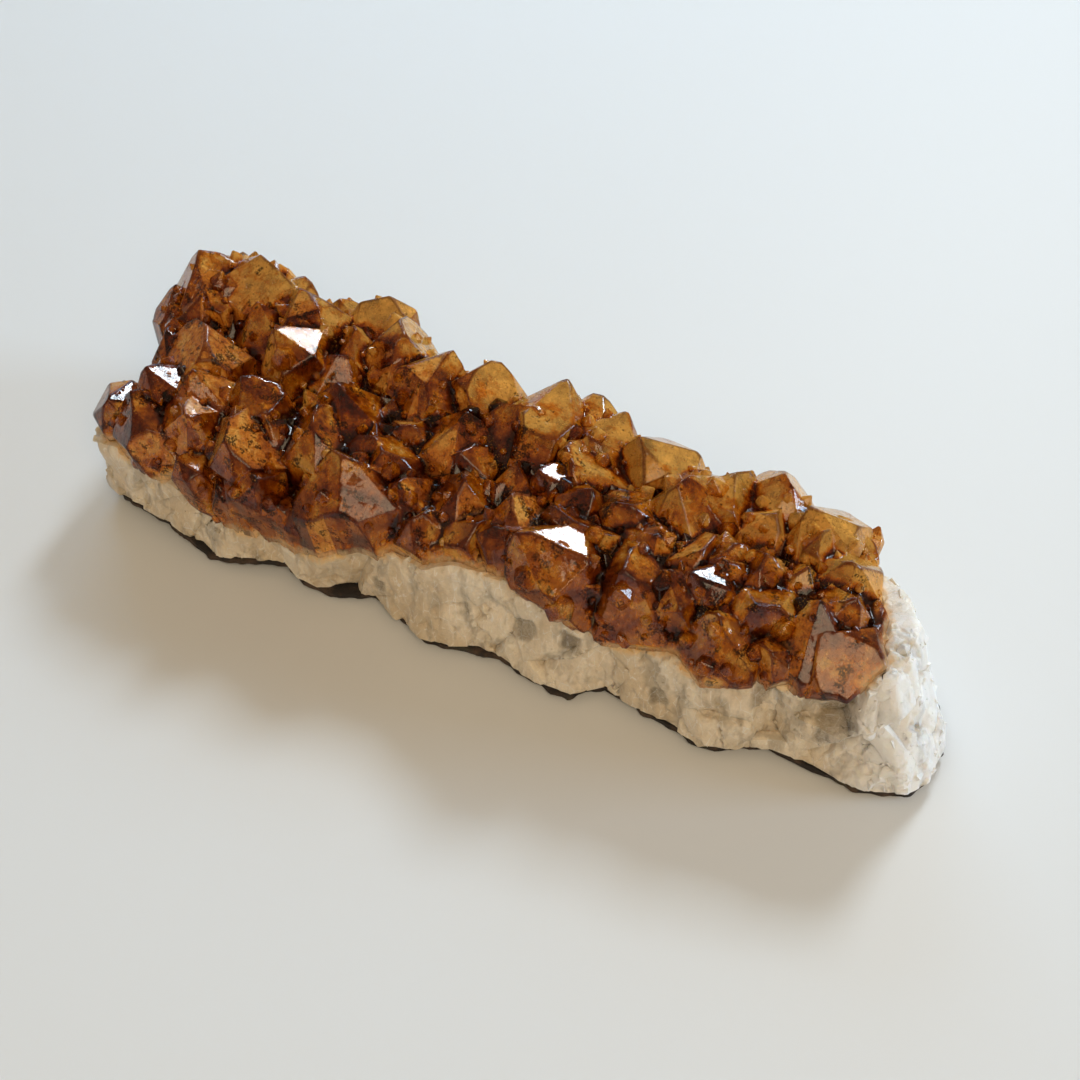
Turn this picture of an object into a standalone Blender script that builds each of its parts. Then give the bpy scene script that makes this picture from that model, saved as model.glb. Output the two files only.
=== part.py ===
"""Citrine cluster: a crown of grown-together crystals on milky quartz, with a skin of basalt beneath.

Three solids are built, in metres, +Z up, with the origin at the middle of the resting face:
  basalt_rind       the thin dark skin of host rock that the cluster rests on
  quartz_base       the broken slab of milky quartz that grew on it
  citrine_crystals  the amber points, which overlap and so are one solid
Lengths in the tables below are in millimetres and are turned into metres by MM.
"""

import math
import random

import bmesh
import bpy
from mathutils import Matrix, Vector, noise

MM = 0.001
SEED = 12

# ---- The slab -------------------------------------------------------------------------------
# The broken wall, counter-clockwise from the front left corner. Each row is a place on the rim:
# x and y at the foot, x and y at the growth surface, and how far the rim lifts off the table.
WALL = [
    (-87.0, -19.0, -89.0, -19.0, 2.4),
    (-77.0, -21.0, -78.0, -21.5, 2.6),
    (-66.0, -22.5, -66.5, -22.0, 2.0),
    (-58.0, -23.5, -58.0, -22.5, 0.6),
    (-51.0, -22.0, -51.0, -22.5, 1.6),
    (-43.0, -20.5, -43.0, -22.0, 2.2),
    (-32.0, -21.5, -32.0, -20.0, 0.5),
    (-24.0, -18.5, -24.0, -18.0, 0.8),
    (-10.0, -21.5, -9.0, -18.5, 0.4),
    (0.0, -20.0, 1.0, -17.0, 0.7),
    (10.0, -20.0, 9.0, -17.0, 0.5),
    (20.5, -21.5, 19.0, -18.0, 0.4),
    (26.0, -17.0, 26.0, -17.0, 0.9),
    (36.0, -18.0, 36.0, -17.0, 0.5),
    (46.0, -19.5, 45.0, -16.5, 0.4),
    (52.0, -18.0, 51.0, -16.5, 0.6),
    (58.0, -15.0, 57.0, -15.5, 1.0),
    (66.0, -14.5, 65.0, -14.0, 0.6),
    (75.0, -15.5, 71.5, -12.5, 0.5),
    (83.5, -13.0, 73.0, -10.0, 0.6),
    (85.5, -9.0, 73.0, -5.0, 0.9),
    (85.5, -1.0, 72.5, 1.0, 1.2),
    (81.0, 8.0, 69.5, 6.0, 0.6),
    (76.0, 12.5, 65.5, 9.5, 0.8),
    (64.0, 15.5, 60.0, 12.5, 0.6),
    (52.0, 18.0, 52.0, 16.5, 1.0),
    (38.0, 18.5, 38.0, 17.5, 0.6),
    (24.0, 21.0, 24.0, 19.5, 0.9),
    (8.0, 22.5, 8.0, 21.0, 0.6),
    (-8.0, 22.0, -8.0, 20.5, 1.2),
    (-22.0, 20.5, -22.0, 19.5, 0.8),
    (-38.0, 23.5, -38.0, 22.0, 0.6),
    (-54.0, 25.0, -54.0, 24.0, 1.4),
    (-70.0, 26.5, -70.0, 25.5, 0.8),
    (-82.0, 25.0, -83.5, 24.0, 1.2),
    (-88.0, 18.0, -89.0, 17.0, 1.6),
    (-86.0, 6.0, -86.0, 5.0, 1.0),
    (-88.0, -6.0, -88.0, -6.0, 1.8),
]
STEPS_PER_SPAN = 2
WALL_RINGS = 5
WALL_TOP_Z = 34.0
WALL_ROUGHNESS = 2.0
WALL_GRAIN = 0.085  # noise periods per millimetre along the wall
WALL_BANDING = 1.6  # times as many periods up the wall
FINE_GRAIN = 2.3  # times as many periods again in the finer, fainter part of the roughness
FINE_SHARE = 0.5
FINE_OFFSET = 50.0
SLAB_ASPECT = 0.25  # how much a place's X counts against its Y in which way is outwards
CHIPS = 46
CHIP_SIZE = (9.0, 20.0)
CHIP_DEPTH = (0.7, 2.4)
CHIP_Z = (6.0, 27.0)
WALL_INSET = (0.93, 0.70)  # the flat part of the underside, as a share of the outline in X and Y

RIND_THICKNESS = 1.2
GAP = 0.3  # left between touching solids

# ---- The growth surface, on which the crystals stand ----------------------------------------
# Its height along the front edge and along the middle, as (x, height).
GROWTH_FRONT = [
    (-92, 16.0), (-80, 18.5), (-62, 17.5), (-50, 14.5), (-38, 13.0), (-27, 16.5), (-15, 19.5),
    (-4, 22.5), (7, 25.5), (17, 24.0), (26, 17.0), (37, 17.5), (50, 20.0), (62, 21.0),
    (75, 25.0), (92, 26.0),
]
GROWTH_MIDDLE = [
    (-92, 16.0), (-60, 19.0), (-20, 22.0), (10, 24.0), (52, 23.0), (74, 29.0), (92, 31.0),
]
GROWTH_BACK = [(-92, 18.0), (-60, 19.0), (0, 20.0), (52, 20.0), (74, 27.0), (92, 29.0)]
GROWTH_HALF_WIDTH = 20.0
GROWTH_WAVE = 0.8
GROWTH_GRAIN = 0.11
GROWTH_CELL = 6.0
GROWTH_EDGE_POWER = 2.5  # how late the middle gives way to the edge, across the slab
GROWTH_PAST_EDGE = 1.2  # half widths from the middle at which it stops changing
GROWTH_REACH = (104.0, 36.0)  # half the sheet's size in X and Y
BLOCK_FLOOR = -10.0

# ---- The crystals ---------------------------------------------------------------------------
# Each row is one leading crystal: x, y and height of its tip, and its width across the flats.
BACK_ROW = [
    (-79, 24, 37, 12), (-69, 26, 35, 9), (-69, 21, 40, 13), (-62, 24, 36, 9),
    (-55, 24, 34, 9), (-60, 18, 39, 13), (-46, 23, 38, 12), (-37, 20, 39, 13), (-24, 17, 38, 13),
    (-15, 18, 38, 14), (-1, 19, 39, 15), (5, 21, 36, 9), (12, 18, 37, 10), (28, 15, 33, 9),
    (37, 14, 37, 12), (45, 15, 38, 14), (50, 10, 38, 15), (56, 13, 36, 11), (62, 3, 37, 12),
    (-87, 12, 34, 11),
]
UPPER_ROW = [
    (-79, 11, 36, 11), (-68, 13, 36, 13), (-54, 12, 36, 11), (-46, 15, 37, 12), (-44, 8, 36, 12),
    (-35, 14, 38, 12), (-27, 9, 37, 14), (-14, 5, 37, 14), (-6, 9, 38, 14), (9, 10, 37, 16),
    (29, 5, 39, 18), (46, 8, 36, 10),
]
MIDDLE_ROW = [
    (-81, 1, 33, 9), (-73, 2, 37, 15), (-39, -1, 38, 17), (-24, -2, 34, 11), (-12, -3, 34, 10),
    (-1, 0, 34, 9), (8, 3, 37, 16), (20, 2, 35, 11), (38, -3, 35, 11), (48, -1, 36, 13),
    (55, 0, 35, 11), (65, -4, 36, 12),
]
LOWER_ROW = [
    (-66, -10, 37, 15), (-50, -12, 35, 12), (-39, -9, 37, 15), (-29, -8, 35, 10),
    (-31, -14, 35, 18), (-23, -11, 35, 12), (-8, -8, 34, 17), (3, -8, 35, 12), (18, -9, 35, 15),
    (30, -6, 36, 13), (34, -11, 34, 9), (43, -6, 36, 9), (52, -11, 34, 11), (60, -7, 36, 14),
]
FRONT_ROW = [
    (-83, -18, 28, 9), (-62, -19, 34, 12), (-52, -18, 35, 15), (-44, -22, 29, 11),
    (-54, -23, 24, 8), (-43, -23, 22, 8), (-34, -20, 27, 12), (-38, -21, 22, 9),
    (-69, -20, 27, 9), (-19, -14, 32, 13), (-13, -17, 29, 9), (-1, -14, 31, 10),
    (20, -18, 29, 9), (28, -15, 35, 18), (36, -15, 31, 11), (45, -15, 32, 14), (54, -15, 29, 10),
    (62, -11, 32, 14), (68, -9, 30, 9), (-26, -18, 26, 9), (5, -15, 33, 9), (-72, -21, 26, 8),
]
# These lie back, so that one broad tip face looks up: as above, then the lean from upright and
# the direction that the tip points in, both in degrees.
LYING_BACK = [
    (8, -17, 36, 16, 35, 207), (-57, 4, 40, 14, 27, 200), (38, -11, 35, 8, 39, 210),
    (-76, -12, 35, 9, 24, 203), (-62, -23, 27, 7, 25, 206), (-56, -8, 38, 12, 26, 180),
    (17, 12, 38, 15, 20, 190), (-77, -17, 32, 14, 23, 184), (4, -2, 36, 8, 33, 208),
    (-84, 18, 40, 18, 20, 165),
]
UPRIGHT = BACK_ROW + UPPER_ROW + MIDDLE_ROW + LOWER_ROW + FRONT_ROW
LEADERS = UPRIGHT + [row[:4] for row in LYING_BACK]

TIP_FACE_TILT = math.radians(47.0)  # between the long axis and a tip face's normal, slightly blunted
BROAD_TIP_FACE = 0.88  # the three broad tip faces lie this much nearer the axis than the others
TIP_SPREAD = 0.26  # how unevenly a tip's faces grew
BODY_SPREAD = 1.15  # a crystal's body against the width in the tables, so that neighbours merge
ROOF_SHARE = 0.62  # of the crystals, whose two opposite tip faces meet in a ridge like a roof's
ROOF_GROWTH = (0.5, 0.8)  # how far those two faces grew, as a share of the other tip faces
PRISM_SPREAD = 0.16
ALONG_LEAN = [(-92, -22.0), (-65, -4.0), (40, 0.0), (90, -8.0)]  # degrees towards +X at each x
ACROSS_LEAN = 28.0  # degrees outwards at the long rims
STRAY_LEAN = 11.0
LYING_TWIST = math.pi / 2  # turns a broad tip face to the sky
ROOT_DEPTH = 4.0  # how far a crystal's foot goes below the growth surface

FILLER_PITCH = 8.5
FILLER_SCATTER = 0.3  # of the pitch
FILLER_WIDTH = (5.5, 8.5)
FILLER_TIP = (8.0, 13.5)  # height above the growth surface
FILLER_CLEARANCE = 0.36  # of a leader's width, in which no filler stands
FILLER_SHARE = 0.92  # of the slab's outline, in which fillers stand
CRUST_THICKNESS = 3.0
CRUST_SHARE = 0.94  # of the slab's outline
OVERHANG = (-1.0, 7.5)  # how far crystals may stand out past the wall, at the table and at the top
LIMIT_Z = 46.0


def between(table, x):
    """The value at x of a table of (x, value) rows, along straight lines between them."""
    if x <= table[0][0]:
        return table[0][1]
    for (x0, v0), (x1, v1) in zip(table, table[1:]):
        if x <= x1:
            return v0 + (v1 - v0) * (x - x0) / (x1 - x0)
    return table[-1][1]


def growth_height(x, y):
    """Height of the growth surface above the table."""
    middle = between(GROWTH_MIDDLE, x)
    edge = between(GROWTH_FRONT if y < 0 else GROWTH_BACK, x)
    share = min(GROWTH_PAST_EDGE, abs(y) / GROWTH_HALF_WIDTH) ** GROWTH_EDGE_POWER
    wave = GROWTH_WAVE * noise.noise(Vector((x, y, 0)) * GROWTH_GRAIN)
    return middle + (edge - middle) * share + wave


def rim():
    """The wall's rows, with STEPS_PER_SPAN places in each span."""
    rows = []
    for here, after in zip(WALL, WALL[1:] + WALL[:1]):
        for step in range(STEPS_PER_SPAN):
            share = step / STEPS_PER_SPAN
            rows.append([a + (b - a) * share for a, b in zip(here, after)])
    return rows


def object_from(name, bm):
    """A new object in the scene with this bmesh, whose lengths are in millimetres."""
    bmesh.ops.scale(bm, vec=(MM, MM, MM), verts=bm.verts)
    bmesh.ops.recalc_face_normals(bm, faces=bm.faces)
    mesh = bpy.data.meshes.new(name)
    bm.to_mesh(mesh)
    bm.free()
    made = bpy.data.objects.new(name, mesh)
    bpy.context.scene.collection.objects.link(made)
    return made


def bridged(rings, name):
    """A closed solid through rings of points, each with the same count, capped at both ends."""
    bm = bmesh.new()
    loops = [[bm.verts.new(place) for place in ring] for ring in rings]
    count = len(rings[0])
    for low, high in zip(loops, loops[1:]):
        for i in range(count):
            j = (i + 1) % count
            bm.faces.new((low[i], low[j], high[j], high[i]))
    bm.faces.new(loops[0][::-1])
    bm.faces.new(loops[-1])
    bmesh.ops.triangulate(bm, faces=bm.faces)
    return object_from(name, bm)


def outwards(x, y):
    """The level direction that faces roughly out of the slab at a place on its rim."""
    return Vector((x * SLAB_ASPECT, y, 0)).normalized()


def wall_place(row, share):
    """X and y of a place on the wall, at a share of the way from its foot to its top."""
    foot_x, foot_y, top_x, top_y, _ = row
    return foot_x + (top_x - foot_x) * share, foot_y + (top_y - foot_y) * share


def wall_ring(share, lift_z, outline_share=1.0):
    """One ring of the broken wall, at a share of the way from its foot to its top."""
    ring = []
    for row in rim():
        x, y = (along * outline_share for along in wall_place(row, share))
        z = lift_z + row[4] * (1 - share) + (WALL_TOP_Z - lift_z) * share
        banded = z * WALL_BANDING
        rough = noise.noise(Vector((x, y, banded)) * WALL_GRAIN)
        fine = noise.noise(Vector((x + FINE_OFFSET, y, banded)) * WALL_GRAIN * FINE_GRAIN)
        ring.append(Vector((x, y, z)) + outwards(x, y) * WALL_ROUGHNESS * (rough + FINE_SHARE * fine))
    return ring


def limit_ring(z, outset):
    """A ring that runs outside the wall, as far out as crystals may reach at this height."""
    places = [wall_place(row, z / WALL_TOP_Z) for row in rim()]
    return [Vector((x, y, z)) + outwards(x, y) * outset for x, y in places]


def chips(name):
    """Blocks whose corners and edges bite into the wall, as blows break angular chips out of it."""
    dice = random.Random(SEED)
    places = rim()
    bm = bmesh.new()
    for index in range(CHIPS):
        z = dice.uniform(*CHIP_Z)
        x, y = wall_place(places[index * len(places) // CHIPS], z / WALL_TOP_Z)
        outward = outwards(x, y)
        turn = Matrix.Rotation(dice.uniform(0, math.pi), 4, (dice.random(), dice.random(), 1))
        block = bmesh.ops.create_cube(bm, size=dice.uniform(*CHIP_SIZE), matrix=turn)
        nearest = min(vert.co.dot(outward) for vert in block["verts"])
        shift = Vector((x, y, z)) - outward * (nearest + dice.uniform(*CHIP_DEPTH))
        bmesh.ops.translate(bm, verts=block["verts"], vec=shift)
    return object_from(name, bm)


def underside_ring(z):
    """The inner ring of the underside, which is flat within it."""
    return [Vector((r[0] * WALL_INSET[0], r[1] * WALL_INSET[1], z)) for r in rim()]


def below_growth(offset, name):
    """A block that fills everything below the growth surface, raised by offset."""
    half_x, half_y = GROWTH_REACH
    columns, rows = round(2 * half_x / GROWTH_CELL), round(2 * half_y / GROWTH_CELL)
    bm = bmesh.new()
    bmesh.ops.create_grid(bm, x_segments=columns, y_segments=rows, size=1.0)
    for vert in bm.verts:
        x, y = vert.co.x * half_x, vert.co.y * half_y
        vert.co = Vector((x, y, growth_height(x, y) + offset))
    made = bmesh.ops.extrude_face_region(bm, geom=bm.faces[:])
    for vert in (g for g in made["geom"] if isinstance(g, bmesh.types.BMVert)):
        vert.co.z = BLOCK_FLOOR
    bmesh.ops.triangulate(bm, faces=bm.faces)
    return object_from(name, bm)


def cut(bm, point, normal):
    """Cuts away what lies beyond a plane and closes the convex solid again."""
    everything = bm.verts[:] + bm.edges[:] + bm.faces[:]
    done = bmesh.ops.bisect_plane(
        bm, geom=everything, plane_co=point, plane_no=normal, clear_outer=True
    )
    edges = [g for g in done["geom_cut"] if isinstance(g, bmesh.types.BMEdge)]
    if edges:
        bmesh.ops.edgeloop_fill(bm, edges=edges)


def crystal(bm, tip, width, axis, twist, dice, roof_share=ROOF_SHARE):
    """Adds one quartz point: a six-sided prism under three broad and three narrow tip faces.

    On a share of the crystals, two opposite tip faces are nearer the axis and meet in a ridge.
    """
    length = tip.z - growth_height(tip.x, tip.y) + ROOT_DEPTH + width * 0.5
    point = bmesh.new()
    bmesh.ops.create_cube(point, size=4 * length)
    cut(point, Vector((0, 0, -length)), Vector((0, 0, -1)))
    apothem = width / 2
    roof = dice.randrange(3) if dice.random() < roof_share else None
    roof_growth = dice.uniform(*ROOF_GROWTH)
    for side in range(6):
        angle = side * math.pi / 3
        out = Vector((math.cos(angle), math.sin(angle), 0))
        away = apothem * dice.uniform(1 - PRISM_SPREAD, 1 + PRISM_SPREAD)
        cut(point, out * away, out)
        slope = out * math.sin(TIP_FACE_TILT) + Vector((0, 0, math.cos(TIP_FACE_TILT)))
        grown = 1.0 if side % 2 else BROAD_TIP_FACE
        grown *= dice.uniform(1 - TIP_SPREAD, 1)
        if side % 3 == roof:
            grown *= roof_growth
        drop = apothem * math.tan(TIP_FACE_TILT)
        cut(point, Vector((0, 0, -drop * (1 - grown))), slope)
    highest = max(vert.co.z for vert in point.verts)
    turn = axis.to_track_quat("Z", "Y").to_matrix().to_4x4() @ Matrix.Rotation(twist, 4, "Z")
    place = Matrix.Translation(tip) @ turn @ Matrix.Translation((0, 0, -highest))
    bmesh.ops.transform(point, matrix=place, verts=point.verts)
    mesh = bpy.data.meshes.new("point")
    point.to_mesh(mesh)
    point.free()
    bm.from_mesh(mesh)
    bpy.data.meshes.remove(mesh)


def growth_axis(x, y, dice):
    """The direction a crystal grew in: upwards, splaying outwards towards the rim."""
    across = max(-1.0, min(1.0, y / GROWTH_HALF_WIDTH))
    lean_x = math.radians(between(ALONG_LEAN, x) + dice.gauss(0, STRAY_LEAN))
    lean_y = math.radians(ACROSS_LEAN * across * abs(across) + dice.gauss(0, STRAY_LEAN))
    return Vector((math.tan(lean_x), math.tan(lean_y), 1)).normalized()


def inside_rim(x, y, share):
    """Whether a place lies inside the growth surface's outline, scaled by share."""
    corners = [(row[2] * share, row[3] * share) for row in WALL]
    crossings = 0
    for (x0, y0), (x1, y1) in zip(corners, corners[1:] + corners[:1]):
        if (y0 > y) != (y1 > y) and x < x0 + (x1 - x0) * (y - y0) / (y1 - y0):
            crossings += 1
    return crossings % 2 == 1


def fillers(dice):
    """Tips of the small crystals that fill the room between the leaders."""
    found = []
    rows = round(2 * GROWTH_REACH[1] / FILLER_PITCH)
    columns = round(2 * GROWTH_REACH[0] / FILLER_PITCH)
    for row in range(rows):
        for column in range(columns):
            stray_x = dice.uniform(-FILLER_SCATTER, FILLER_SCATTER)
            stray_y = dice.uniform(-FILLER_SCATTER, FILLER_SCATTER)
            x = -GROWTH_REACH[0] + (column + 0.5 * (row % 2) + stray_x) * FILLER_PITCH
            y = -GROWTH_REACH[1] + (row + stray_y) * FILLER_PITCH
            width, rise = dice.uniform(*FILLER_WIDTH), dice.uniform(*FILLER_TIP)
            free = all(
                math.hypot(x - lx, y - ly) > FILLER_CLEARANCE * lw for lx, ly, _, lw in LEADERS
            )
            if free and inside_rim(x, y, FILLER_SHARE):
                found.append((x, y, growth_height(x, y) + rise, width))
    return found


def lying_axis(lean, towards):
    """The axis of a crystal whose tip leans by this much in this direction, in degrees."""
    lean, towards = math.radians(lean), math.radians(towards)
    flat = Vector((math.cos(towards), math.sin(towards), 0)) * math.sin(lean)
    return flat + Vector((0, 0, math.cos(lean)))


def crystals(name):
    """All the crystals, as overlapping solids in one object.

    Each draws its random numbers by its own place, so that moving one leaves the others alone.
    """
    bm = bmesh.new()
    for x, y, z, width in UPRIGHT + fillers(random.Random(SEED)):
        dice = random.Random(f"{SEED} {x} {y}")
        axis = growth_axis(x, y, dice)
        twist = dice.uniform(0, math.pi / 3)
        crystal(bm, Vector((x, y, z)), width * BODY_SPREAD, axis, twist, dice)
    for x, y, z, width, lean, towards in LYING_BACK:
        dice = random.Random(f"{SEED} {x} {y}")
        axis = lying_axis(lean, towards)
        crystal(bm, Vector((x, y, z)), width, axis, LYING_TWIST, dice, roof_share=0.0)
    return object_from(name, bm)


def combined(first, operation, second, overlapping=False):
    """Applies a Boolean of two objects to the first, and removes the second."""
    step = first.modifiers.new(operation, "BOOLEAN")
    step.operation = operation
    step.object = second
    step.solver = "EXACT"
    step.use_self = overlapping
    depsgraph = bpy.context.evaluated_depsgraph_get()
    mesh = bpy.data.meshes.new_from_object(first.evaluated_get(depsgraph))
    first.modifiers.clear()
    first.data = mesh
    bpy.data.objects.remove(second)
    return first


def keep_outer_shell(made):
    """Keeps the largest connected piece of a mesh: pockets sealed between crystals fill up."""
    bm = bmesh.new()
    bm.from_mesh(made.data)
    bm.verts.ensure_lookup_table()
    unseen, largest = set(bm.verts), set()
    while unseen:
        shell, edge = set(), [unseen.pop()]
        while edge:
            vert = edge.pop()
            shell.add(vert)
            near = {e.other_vert(vert) for e in vert.link_edges} & unseen
            unseen -= near
            edge.extend(near)
        largest = max(largest, shell, key=len)
    bmesh.ops.delete(bm, geom=[v for v in bm.verts if v not in largest], context="VERTS")
    bm.to_mesh(made.data)
    bm.free()


def finish(name, colour, roughness, transmission=0.0):
    """A material for one piece."""
    material = bpy.data.materials.new(name)
    material.use_nodes = True
    shader = material.node_tree.nodes["Principled BSDF"]
    shader.inputs["Base Color"].default_value = (*colour, 1.0)
    shader.inputs["Roughness"].default_value = roughness
    shader.inputs["Metallic"].default_value = 0.0
    shader.inputs["Transmission Weight"].default_value = transmission
    material.diffuse_color = (*colour, 1.0)
    return material


def basalt_rind():
    """The skin of host rock: flat where it rests, turned up and ragged at the rim."""
    bottom = wall_ring(0.0, 0.0)
    top = [place + Vector((0, 0, RIND_THICKNESS)) for place in bottom]
    rings = [underside_ring(0.0), bottom, top, underside_ring(RIND_THICKNESS)]
    return bridged(rings, "basalt_rind")


def quartz_base():
    """The milky quartz: broken walls between the rind and the growth surface."""
    foot_z = RIND_THICKNESS + GAP
    rings = [underside_ring(foot_z)]
    rings += [wall_ring(k / WALL_RINGS, foot_z) for k in range(WALL_RINGS + 1)]
    walls = bridged(rings, "quartz_base")
    chipped = chips("chips")
    walls = combined(walls, "DIFFERENCE", chipped, overlapping=True)
    return combined(walls, "INTERSECT", below_growth(-GAP / 2, "below_growth"))


def citrine_crystals():
    """The crown: the points and the crust they share, down to the growth surface."""
    foot_z = RIND_THICKNESS + GAP
    rings = [wall_ring(k / WALL_RINGS, foot_z, CRUST_SHARE) for k in range(WALL_RINGS + 1)]
    crust = bridged(rings, "citrine_crystals")
    crown = combined(crust, "INTERSECT", below_growth(CRUST_THICKNESS, "below_crust"))
    crown = combined(crown, "UNION", crystals("points"), overlapping=True)
    crown = combined(crown, "DIFFERENCE", below_growth(GAP / 2, "below_growth"))
    limit = bridged([limit_ring(0.0, OVERHANG[0]), limit_ring(LIMIT_Z, OVERHANG[1])], "limit")
    crown = combined(crown, "INTERSECT", limit)
    keep_outer_shell(crown)
    return crown


def centre_on_base(pieces):
    """Moves all the pieces so that the middle of their box's lower face is the origin."""
    corners = [v.co for piece in pieces for v in piece.data.vertices]
    low = Vector(map(min, *corners))
    high = Vector(map(max, *corners))
    shift = Vector(((low.x + high.x) / 2, (low.y + high.y) / 2, low.z))
    for piece in pieces:
        piece.data.transform(Matrix.Translation(-shift))


def main():
    for leftover in list(bpy.data.objects):
        bpy.data.objects.remove(leftover)
    pieces = [basalt_rind(), quartz_base(), citrine_crystals()]
    centre_on_base(pieces)
    finishes = [
        finish("basalt", (0.055, 0.043, 0.036), 0.9),
        finish("milky_quartz", (0.78, 0.73, 0.64), 0.5),
        finish("citrine", (0.72, 0.33, 0.06), 0.12, 0.8),
    ]
    for piece, material in zip(pieces, finishes):
        piece.data.materials.clear()
        piece.data.materials.append(material)


main()
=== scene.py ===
"""Citrine cluster: the finishes and fine surfaces of the crystals, the quartz and the rock skin.

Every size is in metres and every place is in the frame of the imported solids: +X along the slab,
+Z up, the broken front facing -Y and the origin in the middle of the resting face.
"""

import logging
import math
import random
from contextlib import contextmanager
from dataclasses import dataclass, field
from enum import Enum
from typing import Any, Callable, Iterator, Sequence, Union

import bmesh
import bpy
import numpy as np
from mathutils import Matrix, Vector, noise
from mathutils.bvhtree import BVHTree
from mathutils.kdtree import KDTree


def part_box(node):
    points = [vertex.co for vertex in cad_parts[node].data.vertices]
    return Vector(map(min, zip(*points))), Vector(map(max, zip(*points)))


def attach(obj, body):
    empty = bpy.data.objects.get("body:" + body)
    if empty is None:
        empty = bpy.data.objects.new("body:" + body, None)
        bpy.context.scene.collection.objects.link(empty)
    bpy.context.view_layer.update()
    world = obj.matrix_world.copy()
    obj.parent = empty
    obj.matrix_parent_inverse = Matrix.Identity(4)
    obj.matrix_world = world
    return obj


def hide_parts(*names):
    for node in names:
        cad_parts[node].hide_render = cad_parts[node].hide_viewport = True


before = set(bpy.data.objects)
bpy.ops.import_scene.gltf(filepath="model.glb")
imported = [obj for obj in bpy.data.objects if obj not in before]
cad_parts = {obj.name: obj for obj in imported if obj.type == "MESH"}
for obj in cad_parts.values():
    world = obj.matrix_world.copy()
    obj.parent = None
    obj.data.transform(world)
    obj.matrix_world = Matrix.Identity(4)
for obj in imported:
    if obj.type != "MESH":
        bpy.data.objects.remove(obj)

LOG = logging.getLogger("citrine_cluster")
MM = 0.001
MERGE_WITHIN = 1e-6
FOOT_HEIGHT = 6.0 * MM
SEED = 4

Triple = tuple[float, float, float]
Colour = Triple


# ---- Shader maths -----------------------------------------------------------------------------


class Maths(Enum):
    """The Math node's operations that the finishes use."""

    ADD = "ADD"
    SUBTRACT = "SUBTRACT"
    MULTIPLY = "MULTIPLY"
    MAXIMUM = "MAXIMUM"
    MINIMUM = "MINIMUM"


class VectorMaths(Enum):
    """The Vector Math node's operations that the finishes use."""

    SUBTRACT = "SUBTRACT"
    DOT_PRODUCT = "DOT_PRODUCT"
    SCALE = "SCALE"


@dataclass(frozen=True)
class Signal:
    """A value or a colour on its way through a material, with plain arithmetic."""

    recipe: "Recipe"
    socket: bpy.types.NodeSocket

    def _with(self, operation: Maths, first: Any, second: Any) -> "Signal":
        """Adds one Math node.

        Args:
            operation: What the node does.
            first: Its first value, a number or a signal.
            second: Its second value, a number or a signal.

        Returns:
            The node's result.
        """
        settings = {"operation": operation.value}
        return self.recipe.make("ShaderNodeMath", settings, {0: first, 1: second})

    def __add__(self, other: Any) -> "Signal":
        """Returns the sum."""
        return self._with(Maths.ADD, self, other)

    __radd__ = __add__

    def __sub__(self, other: Any) -> "Signal":
        """Returns the difference."""
        return self._with(Maths.SUBTRACT, self, other)

    def __rsub__(self, other: Any) -> "Signal":
        """Returns the difference the other way round."""
        return self._with(Maths.SUBTRACT, other, self)

    def __mul__(self, other: Any) -> "Signal":
        """Returns the product."""
        return self._with(Maths.MULTIPLY, self, other)

    __rmul__ = __mul__

    def at_least(self, other: Any) -> "Signal":
        """Returns the larger of the two values."""
        return self._with(Maths.MAXIMUM, self, other)

    def at_most(self, other: Any) -> "Signal":
        """Returns the smaller of the two values."""
        return self._with(Maths.MINIMUM, self, other)


Value = Union[Signal, float]
Tint = Union[Signal, Colour]


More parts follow.
